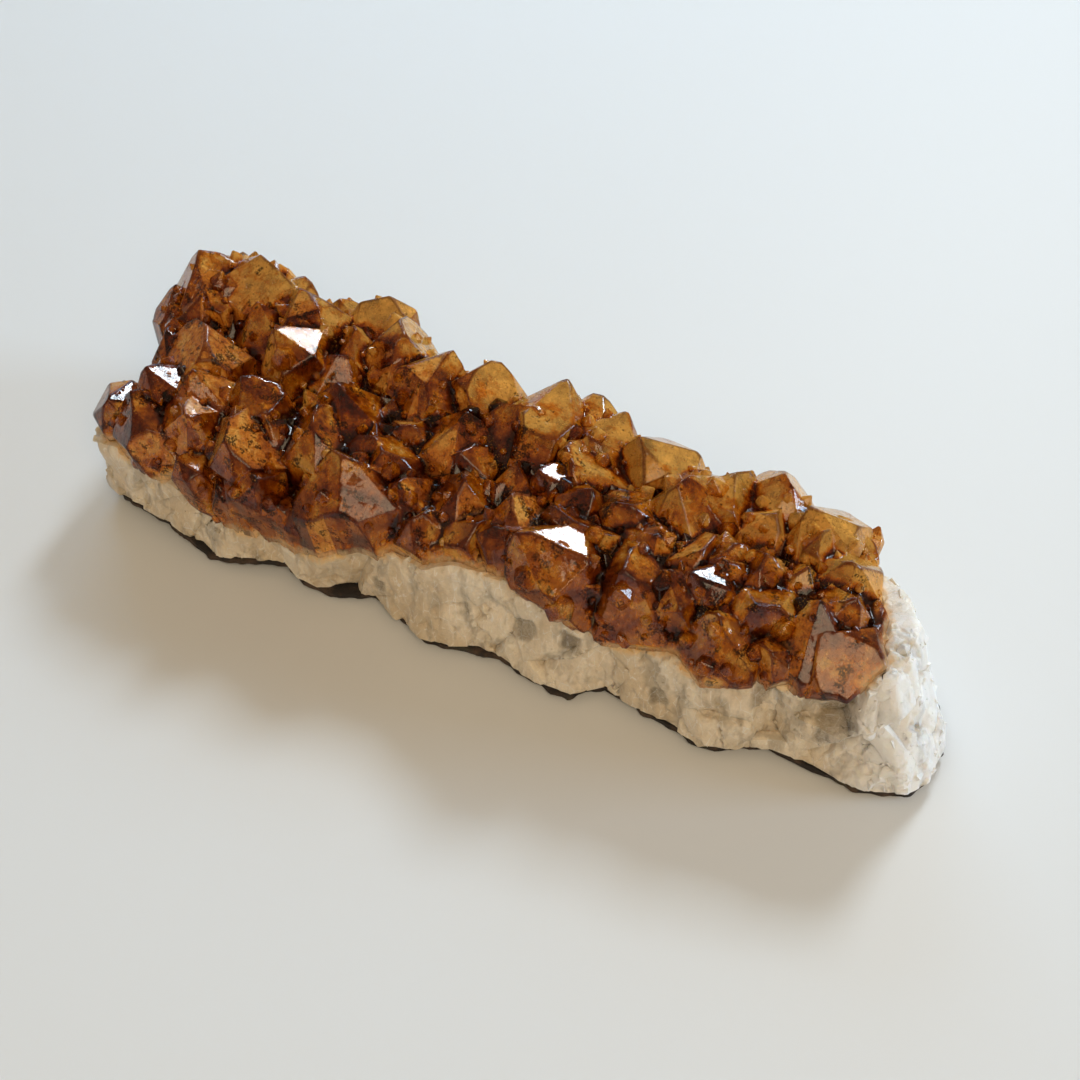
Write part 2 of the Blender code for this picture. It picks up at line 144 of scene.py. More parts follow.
class Recipe:
    """One material's node tree, and the few ways in which its nodes are made."""

    def __init__(self, name: str) -> None:
        """Starts an empty material.

        Args:
            name: The material's name.
        """
        self.material = bpy.data.materials.new(name)
        self.material.use_nodes = True
        self.tree = self.material.node_tree
        self.tree.nodes.clear()
        self.output = self.tree.nodes.new("ShaderNodeOutputMaterial")

    def make(
        self, kind: str, settings: dict[str, Any], inputs: dict[Any, Any], out: Any = 0
    ) -> Signal:
        """Adds a node of any kind.

        Args:
            kind: The node's type.
            settings: Its properties, set first. "stops" are a ramp's (place, colour) rows.
            inputs: Values or signals by socket name or number.
            out: The name or number of the output that is wanted.

        Returns:
            That output as a signal.
        """
        node = self.tree.nodes.new(kind)
        for name, value in settings.items():
            if name == "stops":
                self._set_stops(node.color_ramp, value)
            else:
                setattr(node, name, value)
        for key, value in inputs.items():
            if isinstance(value, Signal):
                self.tree.links.new(value.socket, node.inputs[key])
            elif isinstance(value, tuple) and node.inputs[key].type == "RGBA":
                node.inputs[key].default_value = (*value, 1.0)
            else:
                node.inputs[key].default_value = value
        return Signal(self, node.outputs[out])

    @staticmethod
    def _set_stops(ramp: bpy.types.ColorRamp, stops: Sequence[tuple[float, Colour]]) -> None:
        """Gives a colour ramp its stops.

        Args:
            ramp: The ramp of a fresh node, which has two stops.
            stops: Place and colour of each stop, in order.
        """
        while len(ramp.elements) < len(stops):
            ramp.elements.new(1.0)
        for element, (place, colour) in zip(ramp.elements, stops):
            element.position = place
            element.color = (*colour, 1.0)

    def vectors(self, operation: VectorMaths, inputs: dict[Any, Any], out: Any = 0) -> Signal:
        """Adds a Vector Math node and returns one of its outputs."""
        return self.make("ShaderNodeVectorMath", {"operation": operation.value}, inputs, out)

    def place(self, stretch: Triple = (1.0, 1.0, 1.0), shift: Triple = (0.0, 0.0, 0.0)) -> Signal:
        """Finds the place on the piece, for a pattern to be laid on.

        Args:
            stretch: The factor along each axis. A small one draws the pattern out.
            shift: How far the pattern is moved along each axis.

        Returns:
            The place.
        """
        at = self.make("ShaderNodeTexCoord", {}, {}, "Object")
        inputs = {"Vector": at, "Scale": stretch, "Location": shift}
        return self.make("ShaderNodeMapping", {}, inputs)

    def noise(self, at: Signal, scale: float, detail: float = 3.0, rough: float = 0.5) -> Signal:
        """Returns smooth noise from 0 to 1, with scale periods in a metre."""
        inputs = {"Vector": at, "Scale": scale, "Detail": detail, "Roughness": rough}
        return self.make("ShaderNodeTexNoise", {}, inputs, "Fac")

    def cell_edges(self, at: Signal, scale: float) -> Signal:
        """Returns the distance to the border between cells, with scale cells in a metre."""
        settings, inputs = {"feature": "DISTANCE_TO_EDGE"}, {"Vector": at, "Scale": scale}
        return self.make("ShaderNodeTexVoronoi", settings, inputs, "Distance")

    def measure(self, name: str) -> Signal:
        """Returns a number that the mesh holds at each of its points or faces."""
        return self.make("ShaderNodeAttribute", {"attribute_name": name}, {}, "Fac")

    def between(self, value: Value, low: float, high: float) -> Signal:
        """Returns 0 where value is at or below low, 1 at or above high, and a soft step between.

        Args:
            value: The value.
            low: Where the step starts. It may lie above high, and the step then falls.
            high: Where the step ends.

        Returns:
            The step.
        """
        settings = {"interpolation_type": "SMOOTHSTEP"}
        inputs = {"Value": value, "From Min": low, "From Max": high}
        return self.make("ShaderNodeMapRange", settings, inputs, "Result")

    def blend(self, share: Value, first: Tint, second: Tint) -> Signal:
        """Returns the first colour, turned into the second by a share."""
        settings = {"data_type": "RGBA", "clamp_factor": True}
        return self.make("ShaderNodeMix", settings, {0: share, 6: first, 7: second}, 2)

    def dimmed(self, colour: Tint, factor: Value) -> Signal:
        """Returns a colour multiplied by a number."""
        return self.vectors(VectorMaths.SCALE, {0: colour, "Scale": factor})

    def bump(
        self, height: Signal, depth: float, strength: float = 1.0, after: Any = None
    ) -> Signal:
        """Returns a normal that a height tilts.

        Args:
            height: The height, from 0 to 1.
            depth: How deep the relief is between 0 and 1, in metres.
            strength: How much of the tilt is wanted.
            after: The normal that is tilted, or None for the surface's own.

        Returns:
            The normal.
        """
        inputs: dict[Any, Any] = {"Height": height, "Distance": depth, "Strength": strength}
        if after is not None:
            inputs["Normal"] = after
        return self.make("ShaderNodeBump", {}, inputs, "Normal")

    def mosaic(self, at: Signal, scale: float, tilt: float) -> Signal:
        """Returns a normal that leans one way in each of many small blocks, with edges between.

        Args:
            at: The place on the piece, in metres.
            scale: How many blocks there are in a metre.
            tilt: The widest spread of the blocks' slopes.

        Returns:
            The normal.
        """
        inputs = {"Vector": at, "Scale": scale}
        centre = self.make("ShaderNodeTexVoronoi", {"feature": "F1"}, inputs, "Position")
        chance = Signal(self, centre.socket.node.outputs["Color"])
        away = self.vectors(VectorMaths.SUBTRACT, {0: at, 1: centre})
        lean = self.vectors(VectorMaths.SUBTRACT, {0: chance, 1: (0.5, 0.5, 0.5)})
        height = self.vectors(VectorMaths.DOT_PRODUCT, {0: away, 1: lean}, "Value")
        return self.bump(height * (tilt / MM), MM)

    def surface(self, inputs: dict[str, Any]) -> Signal:
        """Returns a Principled shader with these inputs."""
        return self.make("ShaderNodeBsdfPrincipled", {}, inputs, "BSDF")

    def mixed(self, share: Value, first: Signal, second: Signal) -> Signal:
        """Returns a shader that turns from the first into the second by a share."""
        return self.make("ShaderNodeMixShader", {}, {0: share, 1: first, 2: second})

    def finish(self, shader: Signal) -> None:
        """Makes a shader the material's surface."""
        self.tree.links.new(shader.socket, self.output.inputs["Surface"])

    def absorb(self, colour: Colour, density: float) -> None:
        """Makes the inside take in light: in a metre, density times one less the colour."""
        inside = self.make("ShaderNodeVolumeAbsorption", {}, {"Color": colour, "Density": density})
        self.tree.links.new(inside.socket, self.output.inputs["Volume"])


# ---- Finishes -----------------------------------------------------------------------------------


@dataclass(frozen=True)
class CitrineFinish:
    """Amber quartz: glassy faces over veils and specks, red-brown edges partly of painted shade, a
    golden root, and painted shade, glints and backlight glow.
    """

    # Near-black: the real iron specks, and the painted shade of the dark patches among the
    # crystals.
    specks_and_shade_black: Colour = (0.006, 0.004, 0.002)
    # Dark red-brown: the real streaks and cracks, and the painted shade in the creases.
    streak_and_shade_brown: Colour = (0.045, 0.006, 0.0015)
    # Red-brown of the ridges near the tips: partly the amber's own colour gathered there, partly
    # painted shade of the dark light paths through the edges.
    ridge: Colour = (0.085, 0.012, 0.002)
    tones: tuple[tuple[float, Colour], ...] = (
        (0.00, (0.010, 0.0012, 0.0004)),
        (0.20, (0.065, 0.0075, 0.0010)),
        (0.40, (0.200, 0.027, 0.0010)),
        (0.58, (0.450, 0.092, 0.0020)),
        (0.76, (0.740, 0.210, 0.0075)),
        (1.00, (0.980, 0.480, 0.090)),
    )
    cream: Colour = (0.72, 0.50, 0.27)
    dust: Colour = (0.42, 0.16, 0.045)
    glass: Colour = (0.99, 0.72, 0.26)
    veil_share: float = 0.40
    veil_sheen: float = 0.20
    ior: float = 1.544
    gloss: float = 0.035
    inside: Colour = (0.86, 0.50, 0.04)
    density: float = 130.0
    cloud_scale: float = 150.0
    patch_scale: float = 250.0
    veil_scale: float = 520.0
    mottle_scale: float = 1250.0
    streak_scale: float = 1500.0
    grain_scale: float = 3000.0
    crack_scale: float = 330.0
    block_scale: float = 300.0
    block_tilt: float = 0.045
    relief: float = 0.05 * MM
    least_haze: float = 0.12

    def build(self) -> bpy.types.Material:
        """Builds the material.

        Returns:
            The material.
        """
        mix = Recipe("citrine")
        at = mix.place()
        upright = mix.place((1.0, 1.0, 0.16))
        tip, crest = mix.measure("tip"), mix.measure("crest")
        facet, foot, backlight_glow = mix.measure("facet"), mix.measure("foot"), mix.measure("backlight_glow")
        edge = mix.measure("edge")

        clouds = mix.noise(at, self.cloud_scale, 3.0, 0.62)
        patches = mix.noise(at, self.patch_scale, 3.0, 0.75)
        streaks = mix.noise(upright, self.streak_scale, 2.0, 0.7)
        veils = mix.noise(mix.place((1.0, 1.0, 0.4)), self.veil_scale, 3.0, 0.76)
        mottle = mix.noise(at, self.mottle_scale, 2.0, 0.75)
        grain = mix.noise(at, self.grain_scale, 2.0, 0.7)
        slanted = mix.place((1.0, 0.8, 0.45), (0.3, 0.1, 0.2))
        cracks = mix.cell_edges(slanted, self.crack_scale)

        # Masks from 0 to 1: where each mark lies on the crystals.
        fade = mix.between(foot + (veils - 0.5) * 0.6, 0.36, 0.05)
        crown = mix.between(tip, 0.02, 0.45)
        # Ridges near the tips: partly the amber's own darker colour, partly painted shade where
        # the edges refract dark.
        ridge = mix.between(crest, 0.12, 0.44) * mix.between(clouds, 0.36, 0.50)
        ridge = ridge * (0.25 + crown * 0.75) * (1.0 - fade)
        # Painted shade: dark brown and rougher in the fine creases between faces, where shadow
        # falls.
        crease = mix.between(crest, -0.35, -0.95) * mix.between(patches, 0.44, 0.58)
        # Painted shade: random near-black patches that stand in for the dark shadows deep among
        # the crystals.
        specks_and_shade_black = mix.between(patches - backlight_glow * 0.10, 0.545, 0.61) * mix.between(grain, 0.34, 0.52)
        specks = mix.between(grain, 0.63, 0.70)
        lines = mix.between(streaks, 0.56, 0.66) * mix.between(veils, 0.40, 0.56)
        splits = mix.between(cracks, 0.024, 0.006) * mix.between(veils, 0.48, 0.56)
        # Painted glints: tiny bright golden highlights in the brightest amber tone.
        painted_glints = mix.between(grain, 0.37, 0.31) * mix.between(clouds, 0.38, 0.56)
        root = mix.between(foot, 0.60, 0.10)
        # Painted shade: darker in the hollows between the crystals, where shadow falls.
        hollow = mix.between(tip, 0.02, -0.50)
        frost = mix.between(facet, 0.84, 0.90) * mix.between(mottle, 0.30, 0.55)

        # The amber's tone varies at random and is lighter at the root. A painted backlight glow
        # lightens it towards the back. Painted shade darkens it in the hollows, and partly at the
        # edges near the tips. Then the marks go over both the veils and the clear glass.
        tone = 0.64 + (facet - 0.5) * 0.40 + (clouds - 0.5) * 1.7 + (veils - 0.5) * 0.8
        tone = tone + (mottle - 0.5) * 0.4 + root * 0.16 + backlight_glow * 0.48
        tone = tone - mix.between(edge, 0.15, 0.75) * crown * 0.20 - hollow * 0.88
        body = mix.make("ShaderNodeValToRGB", {"stops": self.tones}, {"Fac": tone}, "Color")
        body = mix.blend(frost * 0.45, body, self.dust)
        # The clear glass's tint follows the same tone, painted glow and shade included.
        glass = mix.blend(mix.between(tone, 0.75, 0.10) * 0.9, self.glass, self.tones[2][1])
        colours = []
        for colour in (body, glass):
            # Over both: real streaks and cracks, the partly painted ridges, painted glints, real
            # specks, painted dark patches, painted crease shade and the real cream root.
            colour = mix.blend((lines * 0.7 + splits * 0.5).at_most(1.0), colour, self.streak_and_shade_brown)
            colour = mix.blend(ridge * 0.80, colour, self.ridge)
            colour = mix.blend(painted_glints * 0.5, colour, self.tones[-1][1])
            colour = mix.blend(specks * 0.6, colour, self.specks_and_shade_black)
            colour = mix.blend(specks_and_shade_black * 0.9, colour, self.specks_and_shade_black)
            colour = mix.blend(crease * 0.5, colour, self.streak_and_shade_brown)
            colour = mix.blend(fade * 0.8, colour, self.cream)
            colours.append(colour)
        body, glass = colours

        wear = mix.between(veils, 0.50, 0.66)
        rough = self.gloss + wear * 0.08 + frost * 0.16 + root * 0.15 + ridge * 0.15 + crease * 0.3
        normal = mix.mosaic(at, self.block_scale, self.block_tilt)
        normal = mix.bump(mottle, self.relief, 0.30, normal)

        clear = mix.surface(
            {
                "Base Color": glass,
                "Roughness": rough,
                "Transmission Weight": 1.0,
                "IOR": self.ior,
                "Normal": normal,
            }
        )
        hazy = mix.surface(
            {
                "Base Color": body,
                "Roughness": rough,
                "Specular IOR Level": self.veil_sheen,
                "Normal": normal,
            }
        )
        # The veils' share. It rises where the painted glints, dark patches and hollow and crease
        # shade lie, and on ridges, streaks and cracks.
        haze = self.veil_share + (patches - 0.5) * 0.9 + wear * 0.10 + frost * 0.35 + root * 0.25
        haze = haze + painted_glints * 0.25 + specks_and_shade_black * 0.4 + (lines + ridge + hollow) * 0.3 + splits * 0.15
        haze = (haze + crease).at_most(1.0).at_least(self.least_haze)
        mix.finish(mix.mixed(haze, clear, hazy))
        mix.absorb(self.inside, self.density)
        return mix.material


@dataclass(frozen=True)
class MilkyQuartzFinish:
    """Cream, half-clear quartz, broken and sugary, with greyer windows and an amber upper edge."""

    cream: Colour = (0.68, 0.54, 0.37)
    chalk: Colour = (0.84, 0.73, 0.58)
    smoke: Colour = (0.36, 0.28, 0.18)
    amber: Colour = (0.78, 0.44, 0.12)
    rust: Colour = (0.32, 0.20, 0.10)
    frost: Colour = (0.96, 0.94, 0.92)
    glass: Colour = (0.95, 0.91, 0.84)
    ior: float = 1.544
    subsurface: float = 0.25
    scatter: Colour = (1.0, 0.8, 0.55)
    scatter_depth: float = 0.0025
    inside: Colour = (0.95, 0.90, 0.78)
    density: float = 40.0
    cloud_scale: float = 110.0
    pane_scale: float = 230.0
    fibre_scale: float = 900.0
    sugar_scale: float = 2100.0
    break_scale: float = 520.0
    block_scale: float = 620.0
    block_tilt: float = 0.24
    relief: float = 0.10 * MM
    most_clear: float = 0.7

    def build(self) -> bpy.types.Material:
        """Builds the material.

        Returns:
            The material.
        """
        mix = Recipe("milky_quartz")
        at = mix.place()
        columns = mix.place((1.0, 1.0, 0.42))
        amber, window, end = mix.measure("amber"), mix.measure("window"), mix.measure("end")

        clouds = mix.noise(columns, self.cloud_scale, 3.0, 0.62)
        panes = mix.noise(columns, self.pane_scale, 3.0, 0.6)
        fibres = mix.noise(columns, self.fibre_scale, 3.0, 0.7)
        sugar = mix.noise(at, self.sugar_scale, 2.0, 0.7)
        breaks = mix.cell_edges(columns, self.break_scale)

        colour = mix.blend(mix.between(clouds, 0.36, 0.64), self.cream, self.chalk)
        pane = mix.between(panes, 0.50, 0.66)
        colour = mix.blend((pane * 0.32 + window * 0.50).at_most(0.9), colour, self.smoke)
        colour = mix.dimmed(colour, 0.68 + fibres * 0.34 + sugar * 0.36)
        colour = mix.blend(mix.between(sugar, 0.66, 0.74) * 0.4, colour, self.rust)
        colour = mix.blend(end * 0.85, colour, self.frost)
        line = mix.between(breaks, 0.035, 0.008) * mix.between(fibres, 0.44, 0.56)
        colour = mix.blend(line * 0.55, colour, self.frost)
        fade = mix.between(amber + (fibres - 0.5) * 0.9, 0.30, 1.0)
        colour = mix.blend(fade * 0.75, colour, self.amber)

        rough = 0.24 + sugar * 0.30 - window * 0.12
        normal = mix.mosaic(columns, self.block_scale, self.block_tilt)
        normal = mix.bump(sugar, self.relief, 0.6, normal)
        milky = mix.surface(
            {
                "Base Color": colour,
                "Roughness": rough,
                "IOR": self.ior,
                "Subsurface Weight": self.subsurface,
                "Subsurface Radius": self.scatter,
                "Subsurface Scale": self.scatter_depth,
                "Normal": normal,
            }
        )
        clear = mix.surface(
            {
                "Base Color": self.glass,
                "Roughness": rough * 0.6,
                "Transmission Weight": 1.0,
                "IOR": self.ior,
                "Normal": normal,
            }
        )
        share = 0.05 + pane * 0.18 + window * 0.26 + end * 0.03
        mix.finish(mix.mixed((share * (1.0 - fade)).at_most(self.most_clear), milky, clear))
        mix.absorb(self.inside, self.density)
        return mix.material


@dataclass(frozen=True)
class RockSkinFinish:
    """Dark brown-black weathered basalt, dull, with rusty and olive patches."""

    black: Colour = (0.022, 0.017, 0.015)
    brown: Colour = (0.085, 0.052, 0.034)
    olive: Colour = (0.075, 0.068, 0.042)
    rust_scale: float = 260.0
    olive_scale: float = 150.0
    grit_scale: float = 1900.0
    relief: float = 0.4 * MM

    def build(self) -> bpy.types.Material:
        """Builds the material.

        Returns:
            The material.
        """
        mix = Recipe("basalt")
        at = mix.place()
        rust = mix.between(mix.noise(at, self.rust_scale, 5.0, 0.65), 0.42, 0.66)
        olive = mix.between(mix.noise(at, self.olive_scale), 0.55, 0.7)
        grit = mix.noise(at, self.grit_scale, 4.0, 0.75)
        colour = mix.blend(olive * 0.6, mix.blend(rust, self.black, self.brown), self.olive)
        colour = mix.dimmed(colour, 0.6 + grit * 0.8)
        rough = 0.82 + grit * 0.14
        normal = mix.bump(grit, self.relief, 0.8)
        mix.finish(mix.surface({"Base Color": colour, "Roughness": rough, "Normal": normal}))
        return mix.material


@dataclass(frozen=True)
class TableFinish:
    """The light-coloured, faintly cool floor that the cluster stands on."""

    colour: Colour = (0.755, 0.765, 0.775)
    roughness: float = 0.55

    def build(self) -> bpy.types.Material:
        """Builds the material.

        Returns:
            The material.
        """
        mix = Recipe("pale_table")
        mix.finish(mix.surface({"Base Color": self.colour, "Roughness": self.roughness}))
        return mix.material


# ---- Working on meshes --------------------------------------------------------------------------


def select_only(piece: bpy.types.Object) -> None:
    """Deselects everything else and makes this piece the active one.

    Args:
        piece: The piece.
    """
    bpy.ops.object.select_all(action="DESELECT")
    piece.select_set(True)
    bpy.context.view_layer.objects.active = piece


@contextmanager
def editing(piece: bpy.types.Object, everything: bool = True) -> Iterator[None]:
    """Holds a piece in edit mode, with edges as what is selected.

    Args:
        piece: The mesh object to edit.
        everything: Whether all of it is selected, or nothing.
    """
    select_only(piece)
    bpy.ops.object.mode_set(mode="EDIT")
    bpy.ops.mesh.select_mode(type="EDGE")
    bpy.ops.mesh.select_all(action="SELECT" if everything else "DESELECT")
    yield
    bpy.ops.object.mode_set(mode="OBJECT")


def add_object(name: str, data: Any) -> bpy.types.Object:
    """Puts a mesh, a light or a camera into the scene.

    Args:
        name: The new object's name.
        data: The mesh, the light or the camera.

    Returns:
        The object.
    """
    holder = bpy.data.objects.new(name, data)
    bpy.context.scene.collection.objects.link(holder)
    return holder


def copy_of_node(node: str, name: str) -> bpy.types.Object:
    """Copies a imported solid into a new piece, with its triangles merged at their corners.

    Args:
        node: The solid's node.
        name: The new piece's name.

    Returns:
        The piece, with a mesh of its own and no material.
    """
    mesh = bpy.data.objects[node].data.copy()
    mesh.materials.clear()
    piece = add_object(name, mesh)
    with editing(piece):
        bpy.ops.mesh.remove_doubles(threshold=MERGE_WITHIN)
    return piece


def join_copies(
    copies: Sequence[bpy.types.Object], name: str, like: bpy.types.Object
) -> bpy.types.Object:
    """Joins the copies of a pattern into one piece.

    Args:
        copies: The copies, each with a mesh of its own.
        name: The new piece's name.
        like: The piece whose material it shares.

    Returns:
        The piece.
    """
    select_only(copies[0])
    for copy in copies:
        copy.select_set(True)
    bpy.ops.object.join()
    joined = copies[0]
    joined.name = name
    joined.data.materials.clear()
    joined.data.materials.append(like.data.materials[0])
    LOG.info("%s: %d copies of one pattern", joined.name, len(copies))
    return joined


def join_flat_faces(piece: bpy.types.Object, angle: float) -> None:
    """Joins faces that lie in one plane, within an angle, so that each flat face is one."""
    with editing(piece):
        bpy.ops.mesh.dissolve_limited(angle_limit=angle)


def triangulate(piece: bpy.types.Object) -> None:
    """Cuts every face into triangles of good shape."""
    with editing(piece):
        bpy.ops.mesh.quads_convert_to_tris(quad_method="BEAUTY", ngon_method="BEAUTY")


def subdivide_to(
    piece: bpy.types.Object,
    longest: float,
    wanted: Callable[[Vector], bool] = lambda at: True,
    rounds: int = 9,
) -> None:
    """Halves edges until none of those wanted is longer than a limit.

    Args:
        piece: The mesh object, in triangles.
        longest: The limit, in metres.
        wanted: Says of an edge's middle whether the edge is to be halved.
        rounds: How many times edges are halved at most.
    """
    for _ in range(rounds):
        with editing(piece, everything=False):
            shape = bmesh.from_edit_mesh(piece.data)
            chosen = 0
            for edge in shape.edges:
                long = edge.calc_length() > longest
                edge.select = long and wanted((edge.verts[0].co + edge.verts[1].co) / 2)
                chosen += edge.select
            bmesh.update_edit_mesh(piece.data)
            if chosen:
                bpy.ops.mesh.subdivide(number_cuts=1, smoothness=0)
        if not chosen:
            return
        triangulate(piece)


def points_of(piece: bpy.types.Object) -> np.ndarray:
    """Reads a mesh's points.

    Args:
        piece: The mesh object.

    Returns:
        Their places, one row each.
    """
    flat = np.empty(len(piece.data.vertices) * 3, dtype=np.float32)
    piece.data.vertices.foreach_get("co", flat)
    return flat.reshape(-1, 3).astype(np.float64)


def move_points(piece: bpy.types.Object, places: np.ndarray) -> None:
    """Puts a mesh's points in new places."""
    piece.data.vertices.foreach_set("co", places.astype(np.float32).ravel())
    piece.data.update()


def normals_of(piece: bpy.types.Object) -> np.ndarray:
    """Works out the normals at a mesh's points.

    The mesh's own normals are added up in an order that varies, so their last digits change.

    Args:
        piece: The mesh object.

    Returns:
        The normals, one row each, with each face counted by its angle at the point.
    """
    mesh, places, least = piece.data, points_of(piece), 1e-20
    mesh.calc_loop_triangles()
    flat = np.empty(len(mesh.loop_triangles) * 3, dtype=np.int32)
    mesh.loop_triangles.foreach_get("vertices", flat)
    corners = flat.reshape(-1, 3)
    at = places[corners]
    across = np.cross(at[:, 1] - at[:, 0], at[:, 2] - at[:, 0])
    across /= np.maximum(np.linalg.norm(across, axis=1, keepdims=True), least)
    total = np.zeros_like(places)
    for turn in range(3):
        one, two = (at[:, (turn + step) % 3] - at[:, turn] for step in (1, 2))
        lengths = np.linalg.norm(one, axis=1) * np.linalg.norm(two, axis=1)
        cosine = np.einsum("ij,ij->i", one, two) / np.maximum(lengths, least)
        angle = np.arccos(np.clip(cosine, -1.0, 1.0))
        for axis in range(3):
            total[:, axis] += np.bincount(
                corners[:, turn], weights=across[:, axis] * angle, minlength=len(places)
            )
    return total / np.maximum(np.linalg.norm(total, axis=1, keepdims=True), least)


def edges_of(piece: bpy.types.Object) -> np.ndarray:
    """Reads a mesh's edges.

    Args:
        piece: The mesh object.

    Returns:
        The numbers of each edge's two points, one row each.
    """
    flat = np.empty(len(piece.data.edges) * 2, dtype=np.int32)
    piece.data.edges.foreach_get("vertices", flat)
    return flat.reshape(-1, 2)


def smoothed(values: np.ndarray, edges: np.ndarray, rounds: int) -> np.ndarray:
    """Averages values with their neighbours', again and again.

    Args:
        values: One row for each point.
        edges: The two points of each edge.
        rounds: How many times the average is taken.

    Returns:
        The averaged rows.
    """
    count = len(values)
    a, b = edges[:, 0], edges[:, 1]
    degree = np.bincount(a, minlength=count) + np.bincount(b, minlength=count)
    degree = np.maximum(degree, 1)
    current = values.copy()
    for _ in range(rounds):
        for column in range(current.shape[1]):
            line = current[:, column]
            total = np.bincount(a, weights=line[b], minlength=count)
            total += np.bincount(b, weights=line[a], minlength=count)
            current[:, column] = 0.5 * line + 0.5 * total / degree
    return current


def standing_out(piece: bpy.types.Object, rounds: int) -> np.ndarray:
    """Measures how far each point stands out of the shape round it.

    Args:
        piece: The mesh object.
        rounds: How many edges away the shape round a point is counted.

    Returns:
        The heights in metres, below 0 in a hollow.
    """
    places = points_of(piece)
    away = places - smoothed(places, edges_of(piece), rounds)
    return np.einsum("ij,ij->i", away, normals_of(piece))


def nearest_gaps(places: np.ndarray, other: bpy.types.Object) -> np.ndarray:
    """Measures how far places are from another piece.

    Args:
        places: The places, one row each.
        other: The other piece.

    Returns:
        Each place's distance to the nearest point of the other piece's mesh.
    """
    tree = KDTree(len(other.data.vertices))
    for vertex in other.data.vertices:
        tree.insert(vertex.co, vertex.index)
    tree.balance()
    return np.array([tree.find(place)[2] for place in places])


def clear_of(nodes: Sequence[str], seam: float) -> Callable[[Vector], bool]:
    """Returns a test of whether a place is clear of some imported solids.

    Args:
        nodes: The solids' nodes.
        seam: The distance within which a place counts as covered.

    Returns:
        The test.
    """
    meshes = [bpy.data.objects[node].data for node in nodes]
    solids = [
        BVHTree.FromPolygons([v.co for v in mesh.vertices], [f.vertices for f in mesh.polygons])
        for mesh in meshes
    ]

    def is_clear(at: Vector) -> bool:
        """Returns whether no solid is within the seam of a place."""
        return all(solid.find_nearest(at, seam)[0] is None for solid in solids)

    return is_clear


def random_faces(
    piece: bpy.types.Object, tries: int, dice: random.Random
) -> Iterator[bpy.types.MeshPolygon]:
    """Picks faces at random, each as often as its area asks.

    Args:
        piece: The mesh object.
        tries: How many faces are picked at most.
        dice: The source of random numbers.

    Yields:
        The faces.
    """
    faces = piece.data.polygons
    weights = np.cumsum([face.area for face in faces])
    for _ in range(tries):
        yield faces[int(np.searchsorted(weights, dice.random() * weights[-1]))]


def broken_relief(at: Vector, scale: float, depth: float, lean: float) -> float:
    """Returns the height of a surface of rounded, tilted grains with grooves between them.

    Args:
        at: The place, in metres.
        scale: How many grains there are in a metre.
        depth: How deep the grooves are, in metres.
        lean: The widest slope of a grain's face.

    Returns:
        The height, in metres.
    """
    distances, centres = noise.voronoi(at * scale)
    best = -1.0
    for distance, centre in zip(distances, centres):
        tilt = noise.cell_vector(centre * 97.0) - Vector((0.5, 0.5, 0.5))
        slope = (at * scale - centre).dot(tilt) / scale * lean * 2.0
        best = max(best, slope - depth * 4.0 * distance * distance)
    return best


def end_share(
    places: np.ndarray, length: float = 20.0 * MM, blend: float = 12.0 * MM
) -> np.ndarray:
    """Measures how near places are to the slab's crumbly right end.

    Args:
        places: The places, one row each.
        length: How long the crumbly end is.
        blend: The stretch over which it turns wholly crumbly.

    Returns:
        Each place's share, from 0 to 1.
    """
    high_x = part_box("quartz_base")[1][0]
    return np.clip((places[:, 0] - (high_x - length)) / blend, 0.0, 1.0)


def store(piece: bpy.types.Object, name: str, values: Any, domain: str = "POINT") -> None:
    """Keeps a number for each point or face on the mesh, for the material to read."""
    layer = piece.data.attributes.new(name, "FLOAT", domain)
    layer.data.foreach_set("value", np.asarray(values, dtype=np.float32))


def dress(piece: bpy.types.Object, material: bpy.types.Material, node: str) -> None:
    """Finishes a piece and hands it to the frame.

    Args:
        piece: The finished mesh object.
        material: Its material.
        node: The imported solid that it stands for.
    """
    piece.data.materials.clear()
    piece.data.materials.append(material)
    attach(piece, "root")
    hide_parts(node)
    triangles = sum(len(face.vertices) - 2 for face in piece.data.polygons)
    LOG.info("%s: %d triangles", piece.name, triangles)


# ---- The pieces ---------------------------------------------------------------------------------


